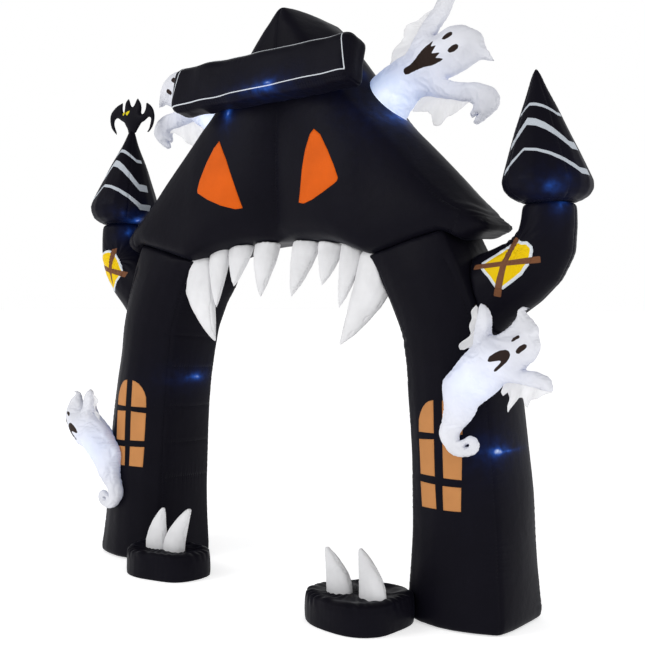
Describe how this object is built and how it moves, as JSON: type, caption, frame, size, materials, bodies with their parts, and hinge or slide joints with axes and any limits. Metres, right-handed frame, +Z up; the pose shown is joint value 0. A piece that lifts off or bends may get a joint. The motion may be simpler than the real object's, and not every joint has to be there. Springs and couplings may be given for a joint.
{
  "type": "inflatable arch",
  "caption": "Inflatable walk-through arch: two tower legs under a peaked roof with hanging teeth, side turrets, sign and ghosts.",
  "frame": {"origin": "middle of the bounding box's footprint, on the ground", "axes": "+X across the arch to the right as seen from its front, +Y from the front to the back, +Z up; the face looks towards -Y"},
  "size_m": [3.281, 1.0272, 3.1049],
  "materials": {
    "black_cloth": "soft satin, thin coated polyester",
    "window_cloth": "matt",
    "diamond_cloth": "matt, printed",
    "eye_cloth": "matt",
    "tooth_cloth": "matt, translucent",
    "ghost_cloth": "matt, translucent",
    "veil_cloth": "matt, translucent single layer",
    "sign_cloth": "soft satin with a thin white border",
    "bat_cloth": "soft satin"
  },
  "bodies": {
    "root": {"arm_left": "black_cloth", "arm_right": "black_cloth", "bat": "bat_cloth", "cone_left": "black_cloth", "cone_right": "black_cloth", "eye_left": "eye_cloth", "eye_right": "eye_cloth", "fang_1": "tooth_cloth", "fang_2": "tooth_cloth", "fang_3": "tooth_cloth", "fang_4": "tooth_cloth", "ghost_a": "ghost_cloth", "ghost_b": "ghost_cloth", "ghost_c": "ghost_cloth", "ghost_d": "ghost_cloth", "leg_left": "black_cloth", "leg_right": "black_cloth", "pane_left_inner_low": "window_cloth", "pane_left_inner_middle": "window_cloth", "pane_left_inner_top": "window_cloth", "pane_left_outer_low": "window_cloth", "pane_left_outer_middle": "window_cloth", "pane_left_outer_top": "window_cloth", "pane_right_inner_low": "window_cloth", "pane_right_inner_middle": "window_cloth", "pane_right_inner_top": "window_cloth", "pane_right_outer_low": "window_cloth", "pane_right_outer_middle": "window_cloth", "pane_right_outer_top": "window_cloth", "panel_left": "diamond_cloth", "panel_right": "diamond_cloth", "pod_left": "black_cloth", "pod_right": "black_cloth", "roof": "black_cloth", "sign": "sign_cloth", "tooth_1": "tooth_cloth", "tooth_2": "tooth_cloth", "tooth_3": "tooth_cloth", "tooth_4": "tooth_cloth", "tooth_5": "tooth_cloth", "tooth_6": "tooth_cloth", "tooth_7": "tooth_cloth", "tooth_8": "tooth_cloth", "veil_a_reaching": "veil_cloth", "veil_b_raised": "veil_cloth", "veil_b_reaching": "veil_cloth", "veil_c_raised": "veil_cloth", "veil_c_reaching": "veil_cloth", "veil_d_raised": "veil_cloth"}
  },
  "joints": []
}
